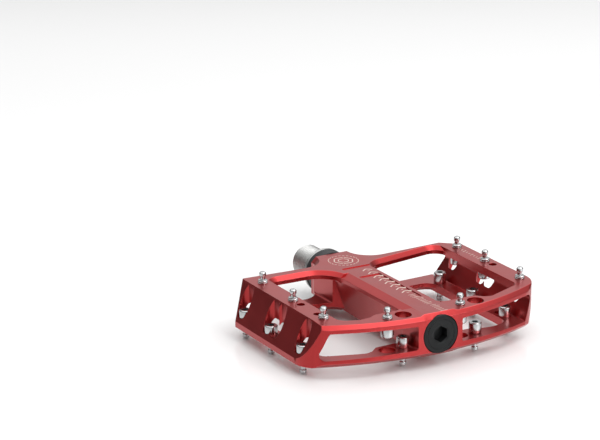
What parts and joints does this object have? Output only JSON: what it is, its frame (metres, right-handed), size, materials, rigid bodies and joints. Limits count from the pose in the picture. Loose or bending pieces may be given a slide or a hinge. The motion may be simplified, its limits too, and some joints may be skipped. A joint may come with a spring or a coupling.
{
  "type": "flat pedal",
  "caption": "Flat bicycle pedal with a leaning-sided aluminium platform, grip pins on both faces and a sealed-bearing steel axle.",
  "frame": {"origin": "on the axle axis, at the shoulder that seats on the crank arm", "axes": "+Y along the axle, outboard; +Z out of tread face A; +X along the platform's width"},
  "size_m": [0.11, 0.1081, 0.0272],
  "materials": {
    "body_red_anodised": "red anodised, satin",
    "axle_steel": "turned, satin",
    "seal_black": "satin black",
    "bushing_bronze": "bronze bushing",
    "zinc_steel": "zinc plated",
    "cap_black": "black anodised, satin",
    "o_ring_rubber": "matt black",
    "bearing_steel": "ground and polished",
    "pin_steel": "bright zinc plated"
  },
  "bodies": {
    "axle_group": {"axle": "axle_steel", "lock_washer": "zinc_steel", "lock_nut": "zinc_steel", "bearing_1_inner_ring": "bearing_steel", "bearing_2_inner_ring": "bearing_steel"},
    "platform": {"pedal_body": "body_red_anodised", "inboard_seal": "seal_black", "inboard_bushing": "bushing_bronze", "end_cap": "cap_black", "end_cap_o_ring": "o_ring_rubber", "bearing_1_outer_ring": "bearing_steel", "bearing_1_shields": "zinc_steel", "bearing_2_outer_ring": "bearing_steel", "bearing_2_shields": "zinc_steel", "grip_pin_a_row_1": "pin_steel", "grip_pin_a_row_2": "pin_steel", "grip_pin_a_row_3": "pin_steel", "grip_pin_a_lip_1": "pin_steel", "grip_pin_a_lip_2": "pin_steel", "grip_pin_a_lip_3": "pin_steel", "grip_pin_a_end_1": "pin_steel", "grip_pin_a_end_2": "pin_steel", "grip_pin_b_row_1": "pin_steel", "grip_pin_b_row_2": "pin_steel", "grip_pin_b_row_3": "pin_steel", "grip_pin_b_lip_1": "pin_steel", "grip_pin_b_lip_2": "pin_steel", "grip_pin_b_lip_3": "pin_steel", "grip_pin_b_end_1": "pin_steel", "grip_pin_b_end_2": "pin_steel"},
    "rolling_set": {"bearing_1_balls": "bearing_steel", "bearing_1_cage": "zinc_steel", "bearing_2_balls": "bearing_steel", "bearing_2_cage": "zinc_steel"}
  },
  "joints": [
    {"name": "pedal_spin", "type": "hinge", "parent": "axle_group", "child": "platform", "pos_m": [0, 0.05, 0], "axis": [0, 1, 0], "continuous": true},
    {"name": "ball_cage_spin", "type": "hinge", "parent": "axle_group", "child": "rolling_set", "pos_m": [0, 0.074, 0], "axis": [0, 1, 0], "continuous": true}
  ],
  "couplings": [
    {"joint": "ball_cage_spin", "follows": "pedal_spin", "ratio": 0.57218}
  ]
}
